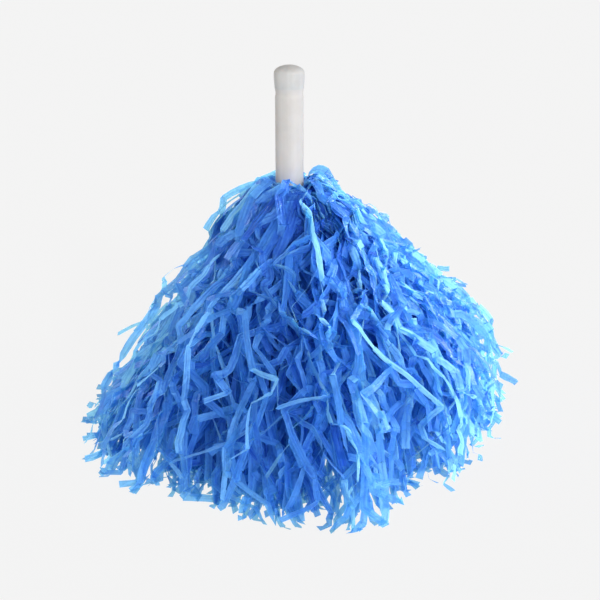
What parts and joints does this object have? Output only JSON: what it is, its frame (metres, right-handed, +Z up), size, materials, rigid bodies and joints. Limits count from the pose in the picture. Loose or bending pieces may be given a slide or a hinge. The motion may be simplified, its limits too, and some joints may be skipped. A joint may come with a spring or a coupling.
{
  "type": "cheer pom pom",
  "caption": "Cheer pom with a capped stick handle and a spread skirt of glossy film streamers that swing in locks.",
  "frame": {"origin": "centre of the ring of streamer ends, on the surface that the pom stands on", "axes": "+Z up along the handle, towards the cap; +X and +Y lie on that surface"},
  "size_m": [0.3916, 0.3916, 0.3338],
  "materials": {
    "blue_film": "thin glossy translucent film",
    "grip_plastic": "satin, slightly milky",
    "cap_vinyl": "soft satin vinyl",
    "plated_steel": "drawn, zinc plated",
    "tape": "clear adhesive tape"
  },
  "bodies": {
    "handle": {"grip_tube": "grip_plastic", "end_cap": "cap_vinyl", "washer": "plated_steel", "wire_loop": "plated_steel", "binding_tape": "tape", "neck_streamers": "blue_film", "inner_streamers": "blue_film", "header_1": "blue_film", "header_2": "blue_film", "header_3": "blue_film", "header_4": "blue_film"},
    "lock_1": {"outer_streamers_1": "blue_film", "middle_streamers_1": "blue_film"},
    "lock_2": {"outer_streamers_2": "blue_film", "middle_streamers_2": "blue_film"},
    "lock_3": {"outer_streamers_3": "blue_film", "middle_streamers_3": "blue_film"},
    "lock_4": {"outer_streamers_4": "blue_film", "middle_streamers_4": "blue_film"},
    "lock_5": {"outer_streamers_5": "blue_film", "middle_streamers_5": "blue_film"},
    "lock_6": {"outer_streamers_6": "blue_film", "middle_streamers_6": "blue_film"},
    "lock_7": {"outer_streamers_7": "blue_film", "middle_streamers_7": "blue_film"},
    "lock_8": {"outer_streamers_8": "blue_film", "middle_streamers_8": "blue_film"}
  },
  "joints": [
    {"name": "lock_1_swing", "type": "hinge", "parent": "handle", "child": "lock_1", "pos_m": [0.019, 0, 0.231], "axis": [0, -1, 0], "range_deg": [0, 45]},
    {"name": "lock_2_swing", "type": "hinge", "parent": "handle", "child": "lock_2", "pos_m": [0.01344, 0.01344, 0.231], "axis": [0.7071, -0.7071, 0], "range_deg": [0, 45]},
    {"name": "lock_3_swing", "type": "hinge", "parent": "handle", "child": "lock_3", "pos_m": [0, 0.019, 0.231], "axis": [1, 0, 0], "range_deg": [0, 45]},
    {"name": "lock_4_swing", "type": "hinge", "parent": "handle", "child": "lock_4", "pos_m": [-0.01344, 0.01344, 0.231], "axis": [0.7071, 0.7071, 0], "range_deg": [0, 45]},
    {"name": "lock_5_swing", "type": "hinge", "parent": "handle", "child": "lock_5", "pos_m": [-0.019, 0, 0.231], "axis": [0, 1, 0], "range_deg": [0, 45]},
    {"name": "lock_6_swing", "type": "hinge", "parent": "handle", "child": "lock_6", "pos_m": [-0.01344, -0.01344, 0.231], "axis": [-0.7071, 0.7071, 0], "range_deg": [0, 45]},
    {"name": "lock_7_swing", "type": "hinge", "parent": "handle", "child": "lock_7", "pos_m": [0, -0.019, 0.231], "axis": [-1, 0, 0], "range_deg": [0, 45]},
    {"name": "lock_8_swing", "type": "hinge", "parent": "handle", "child": "lock_8", "pos_m": [0.01344, -0.01344, 0.231], "axis": [-0.7071, -0.7071, 0], "range_deg": [0, 45]}
  ]
}
